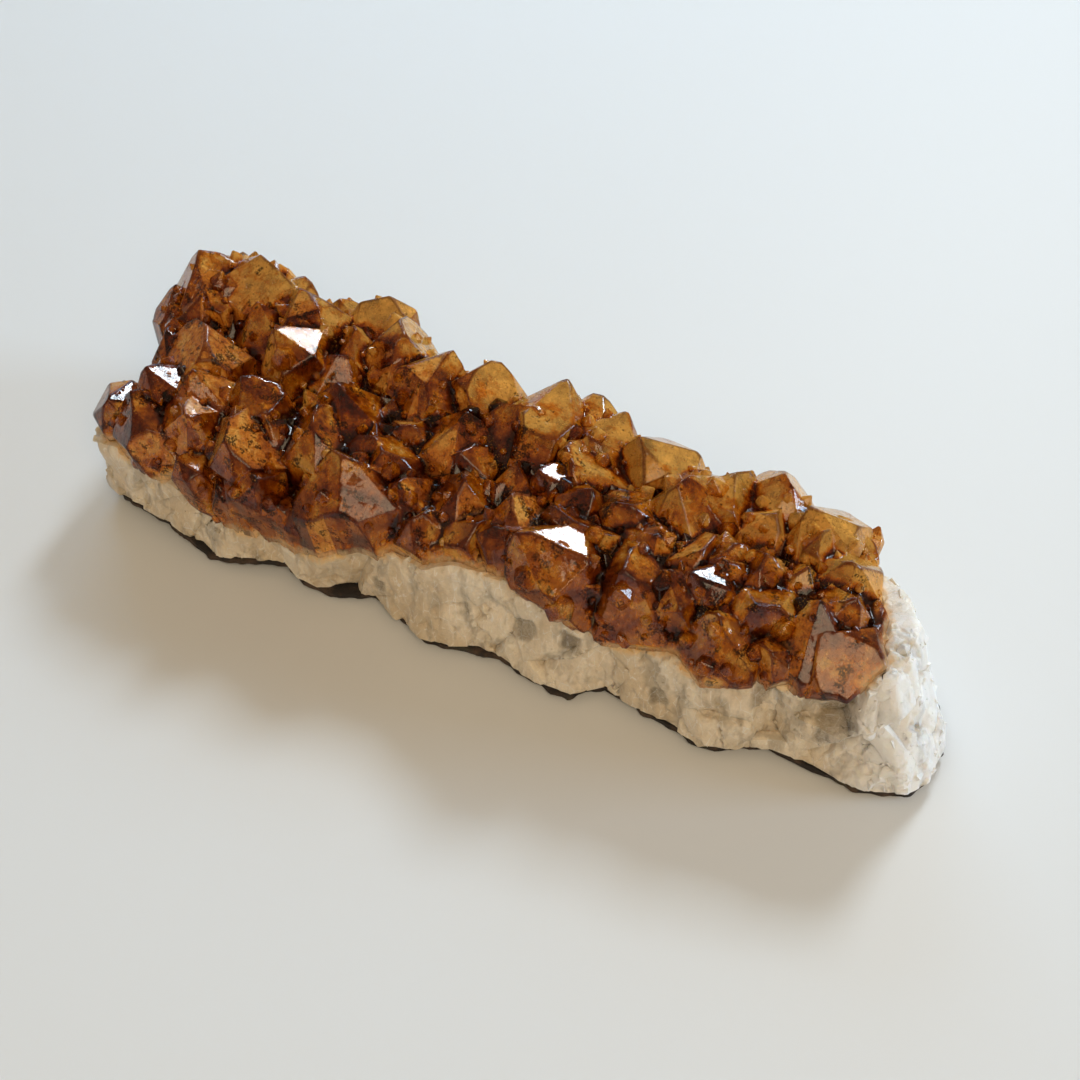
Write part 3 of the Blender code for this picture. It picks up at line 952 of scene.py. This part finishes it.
@dataclass
class CrystalCrown:
    """The big amber points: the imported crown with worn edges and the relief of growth."""

    finish: CitrineFinish = field(default_factory=CitrineFinish)
    flatness: float = math.radians(0.6)
    crease: float = math.radians(28.0)
    longest_edge: float = 0.85 * MM
    seam: float = 0.5 * MM
    wear: float = 0.35
    crest_rounds: int = 5
    crest_height: float = 0.25 * MM
    edge_rounds: int = 22
    edge_height: float = 0.7 * MM
    tip_rounds: int = 70
    tip_height: float = 1.6 * MM
    wave_scales: tuple[float, float] = (330.0, 900.0)
    wave_height: float = 0.016 * MM
    pit_scale: float = 620.0
    pit_shift: Triple = (7.0, 3.0, 1.0)
    pit_from: float = 0.42
    pit_depth: float = 0.45 * MM
    under_slope: float = -0.55
    under_gap: float = 1.6 * MM
    sink: float = 0.9 * MM
    # The painted backlight glow: where across the crown it starts, the stretch over which it
    # grows, and the length along the slab over which its start moves forward by the shift.
    glow_from: float = 1.0 * MM
    glow_over: float = 14.0 * MM
    glow_slope: float = 60.0 * MM
    glow_shift: float = 8.0 * MM

    def build(self, slab: bpy.types.Object) -> bpy.types.Object:
        """Builds and dresses the crown.

        Args:
            slab: The milky quartz, into which the crown's foot reaches.

        Returns:
            The piece.
        """
        crown = copy_of_node("citrine_crystals", "citrine_points")
        join_flat_faces(crown, self.flatness)
        dice = random.Random(SEED)
        store(crown, "facet", [dice.random() for _ in crown.data.polygons], "FACE")
        triangulate(crown)
        subdivide_to(crown, self.longest_edge, clear_of(("quartz_base",), self.seam))
        with editing(crown):
            bpy.ops.mesh.vertices_smooth(factor=self.wear)
        self._measure(crown)
        self._roughen(crown)
        self._sink_foot(crown, slab)
        select_only(crown)
        bpy.ops.object.shade_smooth_by_angle(angle=self.crease)
        dress(crown, self.finish.build(), "citrine_crystals")
        return crown

    def _measure(self, crown: bpy.types.Object) -> None:
        """Stores how far each point stands out, on three scales, and its painted backlight glow,
        lighter towards the back.

        Args:
            crown: The crown.
        """
        crest = standing_out(crown, self.crest_rounds) / self.crest_height
        edge = np.abs(standing_out(crown, self.edge_rounds)) / self.edge_height
        tip = standing_out(crown, self.tip_rounds) / self.tip_height
        store(crown, "crest", np.clip(crest, -1.0, 1.0))
        store(crown, "tip", np.clip(tip, -1.0, 1.0))
        store(crown, "edge", np.clip(edge, 0.0, 1.0))
        # Painted backlight glow: lighter towards the back of the crown, starting further forward
        # towards the right end.
        places = points_of(crown)
        along = np.clip(places[:, 0] / self.glow_slope, -1.0, 1.0)
        start = self.glow_from - self.glow_shift * along
        store(crown, "backlight_glow", np.clip((places[:, 1] - start) / self.glow_over, 0.0, 1.0))

    def _roughen(self, crown: bpy.types.Object) -> None:
        """Adds the faint waviness and the pits of natural faces.

        Args:
            crown: The crown.
        """
        places, normals = points_of(crown), normals_of(crown)
        wide, narrow = self.wave_scales
        shift = np.empty(len(places))
        for index, place in enumerate(places):
            at = Vector(place)
            wave = noise.noise(at * wide) + 0.5 * noise.noise(at * narrow)
            pit = noise.noise(at * self.pit_scale + Vector(self.pit_shift)) - self.pit_from
            shift[index] = self.wave_height * wave - self.pit_depth * max(0.0, pit)
        move_points(crown, places + normals * shift[:, None])

    def _sink_foot(self, crown: bpy.types.Object, slab: bpy.types.Object) -> None:
        """Pushes the hidden underside of the crown into the slab, so that no air lies between.

        Args:
            crown: The crown.
            slab: The slab.
        """
        places, normals = points_of(crown), normals_of(crown)
        gap = nearest_gaps(places, slab)
        store(crown, "foot", np.clip(gap / FOOT_HEIGHT, 0.0, 1.0))
        under = (normals[:, 2] < self.under_slope) & (gap < self.under_gap)
        places[under, 2] -= self.sink
        move_points(crown, places)


@dataclass(frozen=True)
class PointSpot:
    """Where one small point stands: place, direction and width, and the crown's values there."""

    place: Vector
    way: Vector
    width: float
    tip: float
    foot: float
    backlight_glow: float


@dataclass
class SmallPoints:
    """The many small amber points that crowd the valleys and the flanks of the big ones."""

    wanted: int = 640
    tries: int = 24000
    spacing: float = 1.5 * MM
    crowding: float = 0.4
    least_width: float = 1.5 * MM
    greatest_width: float = 5.2 * MM
    rareness: float = 2.2
    valley_tip: float = -0.10
    valley_slope: float = 0.15
    foot_range: tuple[float, float] = (0.34, 0.6)
    skirt_slopes: tuple[float, float] = (0.1, 0.8)
    skirt_tip: float = 0.1
    side_slopes: tuple[float, float] = (0.1, 0.75)
    side_tip: float = 0.22
    side_share: float = 0.08
    side_growth: float = 1.3
    outward: float = 0.6
    upward: float = 0.7
    lean: float = 0.45
    tallness: tuple[float, float] = (0.9, 1.6)
    flattening: tuple[float, float] = (0.75, 1.0)
    buried: float = 0.45
    clearance: float = 1.0
    prism: float = 0.6
    peak: Triple = (0.05, 0.03, 0.42)
    worn: float = 0.035
    raised: float = 0.2

    def build(self, crown: bpy.types.Object) -> bpy.types.Object:
        """Builds and dresses the small points.

        Args:
            crown: The big crystals that they stand on, whose material they share.

        Returns:
            The piece.
        """
        pattern = self._model_pattern()
        dice = random.Random(SEED + 1)
        copies = [self._copy(pattern, spot, dice) for spot in self._spots(crown, dice)]
        bpy.data.objects.remove(pattern)
        points = join_copies(copies, "small_points", crown)
        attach(points, "root")
        return points

    def _model_pattern(self) -> bpy.types.Object:
        """Models the six-sided point, 1 m wide, with worn edges.

        Returns:
            The point, 0.92 m high above its origin and 0.1 m below it.
        """
        bpy.ops.object.select_all(action="DESELECT")
        bpy.ops.mesh.primitive_cylinder_add(vertices=6, radius=0.5, depth=self.prism)
        pattern = bpy.context.active_object
        with editing(pattern, everything=False):
            bpy.ops.mesh.select_mode(type="FACE")
            shape = bmesh.from_edit_mesh(pattern.data)
            for face in shape.faces:
                face.select = face.calc_center_median().z > 0.48 * self.prism
            bmesh.update_edit_mesh(pattern.data)
            bpy.ops.mesh.extrude_region_move(TRANSFORM_OT_translate={"value": self.peak})
            bpy.ops.mesh.merge(type="CENTER")
            bpy.ops.mesh.select_mode(type="EDGE")
            bpy.ops.mesh.select_all(action="SELECT")
            bpy.ops.mesh.bevel(offset=self.worn, segments=1, clamp_overlap=True)
        with editing(pattern):
            bpy.ops.transform.translate(value=(0.0, 0.0, self.raised))
            bpy.ops.mesh.normals_make_consistent(inside=False)
        return pattern

    def _spots(self, crown: bpy.types.Object, dice: random.Random) -> list[PointSpot]:
        """Chooses places in the valleys and low on the flanks of the big crystals.

        Args:
            crown: The big crystals.
            dice: The source of random numbers.

        Returns:
            The places.
        """
        layers = [crown.data.attributes[name].data for name in ("tip", "foot", "backlight_glow")]
        chosen: list[PointSpot] = []
        for face in random_faces(crown, self.tries, dice):
            tip, foot, backlight_glow = (layer[face.vertices[0]].value for layer in layers)
            spread = self.greatest_width - self.least_width
            width = self.least_width + spread * dice.random() ** self.rareness
            side = self._suits_side(face, tip, foot) and dice.random() < self.side_share
            if not (side or self._suits_valley(face, tip, foot)):
                continue
            if foot * FOOT_HEIGHT < width * self.clearance:
                continue
            if side:
                width = min(width * self.side_growth, self.greatest_width)
            place = face.center.copy()
            room = self.spacing * 0.5 + width * self.crowding
            if any((place - o.place).length < room + o.width * self.crowding for o in chosen):
                continue
            way = face.normal * self.outward + Vector((0.0, 0.0, self.upward))
            way += Vector([dice.uniform(-self.lean, self.lean) for _ in range(3)])
            chosen.append(PointSpot(place, way.normalized(), width, tip, foot, backlight_glow))
            if len(chosen) == self.wanted:
                break
        return chosen

    def _suits_valley(self, face: bpy.types.MeshPolygon, tip: float, foot: float) -> bool:
        """Returns whether a face lies in a valley, or on the skirt above the quartz.

        Args:
            face: The face of the crown.
            tip: How far it stands out on a crystal's scale.
            foot: How far it is from the quartz, as a share of the foot's height.

        Returns:
            Whether it does.
        """
        lowest, highest = self.foot_range
        gentle, steep = self.skirt_slopes
        valley = tip < self.valley_tip and face.normal.z > self.valley_slope
        return valley or (
            lowest < foot < highest and gentle < face.normal.z < steep and tip < self.skirt_tip
        )

    def _suits_side(self, face: bpy.types.MeshPolygon, tip: float, foot: float) -> bool:
        """Returns whether a face lies on the flank of a big crystal.

        Args:
            face: The face of the crown.
            tip: How far it stands out on a crystal's scale.
            foot: How far it is from the quartz, as a share of the foot's height.

        Returns:
            Whether it does.
        """
        gentle, steep = self.side_slopes
        raised = foot > self.foot_range[0]
        return tip < self.side_tip and raised and gentle < face.normal.z < steep

    def _copy(
        self, pattern: bpy.types.Object, spot: PointSpot, dice: random.Random
    ) -> bpy.types.Object:
        """Sets one copy of the pattern into the crown.

        Args:
            pattern: The crystal that is copied.
            spot: Where it stands.
            dice: The source of random numbers.

        Returns:
            The copy, with a mesh of its own.
        """
        tall = spot.width * dice.uniform(*self.tallness)
        mesh = pattern.data.copy()
        turn = Matrix.Rotation(dice.uniform(0.0, math.pi / 3), 4, "Z")
        thick = spot.width * dice.uniform(*self.flattening)
        size = Matrix.Diagonal((spot.width, thick, tall, 1.0))
        stand = spot.way.to_track_quat("Z", "Y").to_matrix().to_4x4()
        foot = Matrix.Translation(spot.place - spot.way * tall * self.buried)
        heights = np.array([vertex.co.z for vertex in mesh.vertices])
        mesh.transform(foot @ stand @ turn @ size)
        copy = add_object("small_point", mesh)
        # The crown's tip value carries on here and falls towards the copy's foot, so the painted
        # hollow shade darkens the copy low down.
        store(copy, "tip", np.clip(spot.tip + 0.5 * (heights - self.buried), -1.0, 0.3))
        store(copy, "crest", np.clip((heights - 0.66) * 1.4, 0.0, 0.4))
        store(copy, "edge", np.clip(heights - 0.55, 0.0, 0.5))
        store(copy, "foot", np.full(len(heights), max(spot.foot, 0.3)))
        # The copy keeps the crown's painted backlight glow at its place.
        store(copy, "backlight_glow", np.full(len(heights), spot.backlight_glow))
        own = dice.uniform(0.1, 0.5)
        store(copy, "facet", [own + dice.uniform(0.0, 0.4) for _ in mesh.polygons], "FACE")
        return copy


@dataclass
class QuartzSlab:
    """The broken slab of milky quartz: blocky grains, grooves and sugary edges on its walls."""

    finish: MilkyQuartzFinish = field(default_factory=MilkyQuartzFinish)
    neighbours: tuple[str, str] = ("citrine_crystals", "basalt_rind")
    flatness: float = math.radians(1.0)
    crease: float = math.radians(17.0)
    coarse_edge: float = 3.0 * MM
    longest_edge: float = 0.60 * MM
    seam: float = 0.55 * MM
    squeeze: float = 0.62
    block_scale: float = 190.0
    block_depth: float = 0.18 * MM
    block_lean: float = 0.38
    grain_scale: float = 520.0
    grain_shift: Triple = (0.3, 0.1, 0.2)
    grain_depth: float = 0.05 * MM
    grain_lean: float = 0.50
    sugar_scale: float = 2300.0
    sugar_height: float = 0.05 * MM
    swelling: float = 0.15 * MM
    deepest: float = -1.3 * MM
    highest: float = 0.9 * MM
    foot_from: float = 1.6 * MM
    foot_over: float = 1.2 * MM
    hem_from: float = 1.9 * MM
    hem_drop: float = 0.55 * MM
    hem_scales: tuple[float, float] = (190.0, 700.0)
    amber_reach: float = 2.4 * MM
    # Clear, flat patches: the centre's x, y and z, and the half width and height, in millimetres.
    windows: tuple[tuple[float, float, float, float, float], ...] = (
        (13.2, -18.3, 14.0, 2.6, 3.6),
        (22.9, -19.3, 15.5, 2.2, 2.4),
        (0.4, -18.2, 12.0, 1.8, 3.0),
        (59.2, -19.5, 18.0, 3.0, 4.5),
        (71.0, -12.6, 14.0, 4.0, 5.0),
        (74.8, -9.6, 18.0, 2.4, 3.0),
        (-18.0, -18.5, 9.0, 1.8, 2.2),
        (40.0, -20.0, 9.0, 2.0, 2.6),
    )

    def build(self) -> bpy.types.Object:
        """Builds the slab.

        Returns:
            The piece, which dress_with_amber finishes once the crown stands.
        """
        slab = copy_of_node("quartz_base", "milky_quartz")
        join_flat_faces(slab, self.flatness)
        triangulate(slab)
        subdivide_to(slab, self.coarse_edge)
        subdivide_to(slab, self.longest_edge, clear_of(self.neighbours, self.seam))
        self._break_up(slab)
        select_only(slab)
        bpy.ops.object.shade_smooth_by_angle(angle=self.crease)
        return slab

    def _window_share(self, places: np.ndarray) -> np.ndarray:
        """Measures how much places belong to the clear, flat patches of the wall.

        Args:
            places: The places, one row each.

        Returns:
            Each place's share, from 0 to 1.
        """
        share = np.zeros(len(places))
        ragged = np.array([1.0 + 0.45 * noise.noise(Vector(place) * 420.0) for place in places])
        for x, y, z, wide, tall in self.windows:
            gap = places - np.array((x, y, z)) * MM
            gap /= np.array((wide, 2.0 * wide, tall)) * MM
            reach = np.sum(np.abs(gap) ** 4, axis=1) ** 0.25 * ragged
            share = np.maximum(share, np.clip(3.0 * (1.0 - reach), 0.0, 1.0))
        return share

    def _break_up(self, slab: bpy.types.Object) -> None:
        """Gives the walls blocks, grains and grooves, and leaves the hidden faces alone.

        Args:
            slab: The slab.
        """
        places, normals = points_of(slab), normals_of(slab)
        is_clear = clear_of(self.neighbours, self.seam)
        end, window = end_share(places), self._window_share(places)
        foot = np.clip((places[:, 2] - self.foot_from) / self.foot_over, 0.0, 1.0)
        shift = np.zeros(len(places))
        for index, place in enumerate(places):
            if is_clear(Vector(place)):
                relief = self._relief(place, 0.7 + 0.4 * end[index])
                rough = 1.0 - 0.7 * window[index] + 0.2 * end[index]
                shift[index] = relief * rough * (0.3 + 0.7 * foot[index]) + self.swelling
        shift = np.clip(shift, self.deepest, self.highest)
        moved = places + normals * shift[:, None]
        wide, narrow = self.hem_scales
        for index in np.nonzero(places[:, 2] < self.hem_from)[0]:
            at = Vector(places[index])
            wave = 0.55 + noise.noise(at * wide) + 0.4 * noise.noise(at * narrow)
            moved[index, 2] -= self.hem_drop * min(1.0, max(0.1, wave))
        move_points(slab, moved)

    def _relief(self, place: np.ndarray, graininess: float) -> float:
        """Returns the height of the broken wall at a place.

        Args:
            place: The place.
            graininess: How much of the small grains shows.

        Returns:
            The height, in metres.
        """
        at = Vector((place[0], place[1], place[2] * self.squeeze))
        blocks = broken_relief(at, self.block_scale, self.block_depth, self.block_lean)
        aside = at + Vector(self.grain_shift)
        grains = broken_relief(aside, self.grain_scale, self.grain_depth, self.grain_lean)
        sugar = self.sugar_height * noise.noise(at * self.sugar_scale)
        return blocks + grains * graininess + sugar

    def dress_with_amber(self, slab: bpy.types.Object, crown: bpy.types.Object) -> None:
        """Stores where the slab takes the crystals' colour, and finishes it.

        Args:
            slab: The slab.
            crown: The crystals above it.
        """
        places = points_of(slab)
        gap = nearest_gaps(places, crown)
        store(slab, "amber", np.clip(1.0 - gap / self.amber_reach, 0.0, 1.0))
        store(slab, "window", self._window_share(places))
        store(slab, "end", end_share(places))
        dress(slab, self.finish.build(), "quartz_base")


@dataclass
class BrokenGrains:
    """Angular grains of quartz that stick out of the broken walls, thickest at the right end."""

    neighbours: tuple[str, str] = ("citrine_crystals", "basalt_rind")
    wanted: int = 300
    tries: int = 9000
    least_size: float = 0.8 * MM
    greatest_size: float = 2.6 * MM
    rareness: float = 2.5
    wall_share: float = 0.22
    most_window: float = 0.1
    most_level: float = 0.8
    crowding: float = 0.45
    seam: float = 1.2 * MM
    buried: float = 0.36
    block: float = 0.9
    worn: float = 0.03
    # The planes that cut the block: a place on each, and the direction that is cut away.
    cuts: tuple[tuple[Triple, Triple], ...] = (
        ((0.25, 0.10, 0.30), (0.8, 0.3, 0.7)),
        ((-0.20, 0.20, 0.20), (-0.7, 0.6, 0.3)),
        ((0.10, -0.28, 0.10), (0.3, -0.9, 0.4)),
        ((-0.15, -0.15, -0.20), (-0.5, -0.4, -0.8)),
    )

    def build(self, slab: bpy.types.Object) -> bpy.types.Object:
        """Builds and dresses the grains.

        Args:
            slab: The slab that they stick out of, whose material they share.

        Returns:
            The piece.
        """
        pattern = self._model_pattern()
        dice = random.Random(SEED + 2)
        copies = [self._copy(pattern, *spot, dice) for spot in self._spots(slab, dice)]
        bpy.data.objects.remove(pattern)
        grains = join_copies(copies, "broken_grains", slab)
        store(grains, "end", end_share(points_of(grains)))
        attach(grains, "root")
        return grains

    def _model_pattern(self) -> bpy.types.Object:
        """Models the angular grain.

        Returns:
            The grain, about 1 m across.
        """
        bpy.ops.object.select_all(action="DESELECT")
        bpy.ops.mesh.primitive_cube_add(size=self.block)
        pattern = bpy.context.active_object
        for place, way in self.cuts:
            with editing(pattern):
                bpy.ops.mesh.bisect(plane_co=place, plane_no=way, use_fill=True, clear_outer=True)
        with editing(pattern):
            bpy.ops.mesh.bevel(offset=self.worn, segments=1, clamp_overlap=True)
        with editing(pattern):
            bpy.ops.mesh.normals_make_consistent(inside=False)
        return pattern

    def _spots(
        self, slab: bpy.types.Object, dice: random.Random
    ) -> list[tuple[Vector, Vector, float]]:
        """Chooses places on the walls, most of them at the right end.

        Args:
            slab: The slab.
            dice: The source of random numbers.

        Returns:
            Each grain's place, the direction out of the wall, and its size.
        """
        end, window = (slab.data.attributes[name].data for name in ("end", "window"))
        is_clear = clear_of(self.neighbours, self.seam)
        chosen: list[tuple[Vector, Vector, float]] = []
        for face in random_faces(slab, self.tries, dice):
            first, place = face.vertices[0], face.center.copy()
            spread = self.greatest_size - self.least_size
            size = self.least_size + spread * dice.random() ** self.rareness
            share = self.wall_share + (1.0 - self.wall_share) * end[first].value
            if dice.random() > share or window[first].value > self.most_window:
                continue
            if abs(face.normal.z) > self.most_level or not is_clear(place):
                continue
            if any((place - at).length < self.crowding * (size + near) for at, _, near in chosen):
                continue
            chosen.append((place, face.normal.copy(), size))
            if len(chosen) == self.wanted:
                break
        return chosen

    def _copy(
        self,
        pattern: bpy.types.Object,
        place: Vector,
        way: Vector,
        size: float,
        dice: random.Random,
    ) -> bpy.types.Object:
        """Sets one copy of the pattern into the wall.

        Args:
            pattern: The grain that is copied.
            place: Where it sits.
            way: The direction out of the wall.
            size: How big it is.
            dice: The source of random numbers.

        Returns:
            The copy, with a mesh of its own.
        """
        mesh = pattern.data.copy()
        axis = Vector([dice.uniform(-1.0, 1.0) for _ in range(3)])
        turn = axis.to_track_quat("Z", "Y").to_matrix().to_4x4()
        deep, tall = size * dice.uniform(0.6, 1.0), size * dice.uniform(0.7, 1.2)
        seat = Matrix.Translation(place - way * size * self.buried)
        mesh.transform(seat @ turn @ Matrix.Diagonal((size, deep, tall, 1.0)))
        return add_object("broken_grain", mesh)


@dataclass
class RockSkin:
    """The thin dark skin of host rock, with a ragged edge."""

    finish: RockSkinFinish = field(default_factory=RockSkinFinish)
    crease: float = math.radians(30.0)
    coarse_edge: float = 3.5 * MM
    longest_edge: float = 0.9 * MM
    fine_from: float = 0.8
    front_lead: float = 0.12
    drawn_back: float = 0.10 * MM
    # The waves of the ragged edge: how many there are in a metre, and their height.
    rags: tuple[tuple[float, float], ...] = ((150.0, 0.9 * MM), (480.0, 0.8 * MM))

    def build(self) -> bpy.types.Object:
        """Builds and dresses the skin.

        Returns:
            The piece.
        """
        skin = copy_of_node("basalt_rind", "host_rock_skin")
        low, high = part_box("basalt_rind")
        triangulate(skin)
        subdivide_to(skin, self.coarse_edge)
        subdivide_to(skin, self.longest_edge, lambda at: self._is_outer(at, low, high))
        places, normals = points_of(skin), normals_of(skin)
        for index, place in enumerate(places):
            at, rag = Vector(place), self.drawn_back
            for scale, height in self.rags:
                rag += height * noise.noise(at * scale)
            places[index] += np.array(Vector((*normals[index][:2], 0.0)) * rag)
        places[:, 2] = np.maximum(places[:, 2], 0.0)
        move_points(skin, places)
        select_only(skin)
        bpy.ops.object.shade_smooth_by_angle(angle=self.crease)
        dress(skin, self.finish.build(), "basalt_rind")
        return skin

    def _is_outer(self, at: Vector, low: Sequence[float], high: Sequence[float]) -> bool:
        """Returns whether a place lies near the skin's sides, where the mesh has to be fine.

        Args:
            at: The place.
            low: The lowest corner of the skin's box.
            high: The highest corner of the skin's box.

        Returns:
            Whether it does.
        """
        along = abs(at.x - (low[0] + high[0]) / 2) / ((high[0] - low[0]) / 2)
        across = abs(at.y - (low[1] + high[1]) / 2) / ((high[1] - low[1]) / 2)
        return max(across + self.front_lead, along) > self.fine_from


# ---- The studio ---------------------------------------------------------------------------------


class Side(Enum):
    """The side of the cluster from which an azimuth is counted, towards +X."""

    BACK = 1.0
    FRONT = -1.0


def aim(
    holder: bpy.types.Object,
    target: Vector,
    azimuth: float,
    elevation: float,
    distance: float,
    side: Side,
) -> None:
    """Hangs a lamp or the camera round a place and turns it to look there.

    Args:
        holder: The lamp's or the camera's object.
        target: The place that it looks at.
        azimuth: How far round it hangs, in degrees.
        elevation: How high it hangs, in degrees.
        distance: How far away it hangs.
        side: Where the azimuth is counted from.
    """
    turn, rise = math.radians(azimuth), math.radians(elevation)
    level = Vector((math.sin(turn), side.value * math.cos(turn), 0.0)) * math.cos(rise)
    way = level + Vector((0.0, 0.0, math.sin(rise)))
    holder.location = target + way * distance
    holder.rotation_euler = (-way).to_track_quat("-Z", "Y").to_euler()


@dataclass(frozen=True)
class Lamp:
    """One soft rectangular light that looks at the cluster, with its azimuth from the back."""

    name: str
    azimuth: float
    elevation: float
    distance: float
    width: float
    height: float
    radiance: float
    colour: Colour

    def build(self, target: Vector) -> None:
        """Adds the light.

        Args:
            target: The place that it looks at.
        """
        lamp = bpy.data.lights.new(self.name, "AREA")
        lamp.shape = "RECTANGLE"
        lamp.size, lamp.size_y = self.width, self.height
        lamp.energy = self.radiance * self.width * self.height * math.pi
        lamp.color = self.colour
        holder = add_object(self.name, lamp)
        aim(holder, target, self.azimuth, self.elevation, self.distance, Side.BACK)


@dataclass
class Studio:
    """The light-coloured floor, the windows beside and behind the cluster, the soft fill and the
    camera.
    """

    finish: TableFinish = field(default_factory=TableFinish)
    floor_size: float = 4.0
    azimuth: float = 28.0
    elevation: float = 48.0
    distance: float = 0.300
    field_of_view: float = 38.0
    clip_start: float = 0.01
    target: Vector = field(default_factory=lambda: Vector((5.5 * MM, 0.0, 13.5 * MM)))
    sky: Colour = (1.0, 0.84, 0.62)
    sky_strength: float = 0.32
    bounces: int = 5
    soft_bounces: int = 2
    noise_limit: float = 0.05
    # Each lamp's name, azimuth, elevation, distance, width, height, radiance and colour.
    lamps: tuple[Lamp, ...] = (
        Lamp("window", -2.0, 42.0, 1.2, 0.24, 0.26, 36.0, (0.77, 0.90, 1.0)),
        Lamp("side_window", 66.0, 15.0, 2.6, 0.85, 0.7, 19.0, (0.54, 0.77, 1.0)),
        Lamp("skylight", -34.0, 30.0, 1.6, 0.9, 0.5, 4.2, (0.38, 0.68, 1.0)),
        Lamp("room", 140.0, 45.0, 1.5, 0.8, 0.8, 4.0, (1.0, 0.80, 0.54)),
    )

    def build(self) -> None:
        """Builds everything around the cluster."""
        self._build_floor()
        self._build_camera()
        self._build_sky()
        self._limit_bounces()
        for lamp in self.lamps:
            lamp.build(self.target)

    def _limit_bounces(self) -> None:
        """Ends light paths early enough for a quick picture, which the glassy crystals need."""
        paths = bpy.context.scene.cycles
        paths.max_bounces = self.bounces
        paths.transmission_bounces = self.bounces
        paths.diffuse_bounces = self.soft_bounces
        paths.glossy_bounces = self.soft_bounces
        paths.adaptive_threshold = self.noise_limit

    def _build_floor(self) -> None:
        """Lays the floor under the cluster."""
        bpy.ops.object.select_all(action="DESELECT")
        bpy.ops.mesh.primitive_plane_add(size=self.floor_size)
        floor = bpy.context.active_object
        floor.name = "floor"
        floor.data.materials.append(self.finish.build())

    def _build_camera(self) -> None:
        """Sets up the camera, with its azimuth from the front."""
        lens = bpy.data.cameras.new("camera")
        lens.sensor_fit = "HORIZONTAL"
        lens.angle = math.radians(self.field_of_view)
        lens.clip_start = self.clip_start
        camera = add_object("camera", lens)
        aim(camera, self.target, self.azimuth, self.elevation, self.distance, Side.FRONT)
        bpy.context.scene.camera = camera

    def _build_sky(self) -> None:
        """Lights the whole scene softly from all round."""
        world = bpy.data.worlds.new("sky")
        world.use_nodes = True
        shader = world.node_tree.nodes["Background"]
        shader.inputs["Color"].default_value = (*self.sky, 1.0)
        shader.inputs["Strength"].default_value = self.sky_strength
        bpy.context.scene.world = world
        bpy.context.scene.view_settings.view_transform = "Standard"


def main() -> None:
    logging.basicConfig(level=logging.INFO, format="%(name)s: %(message)s")
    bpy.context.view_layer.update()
    slab_maker = QuartzSlab()
    slab = slab_maker.build()
    crown = CrystalCrown().build(slab)
    slab_maker.dress_with_amber(slab, crown)
    SmallPoints().build(crown)
    BrokenGrains().build(slab)
    RockSkin().build()
    Studio().build()


if __name__ == "__main__":
    main()
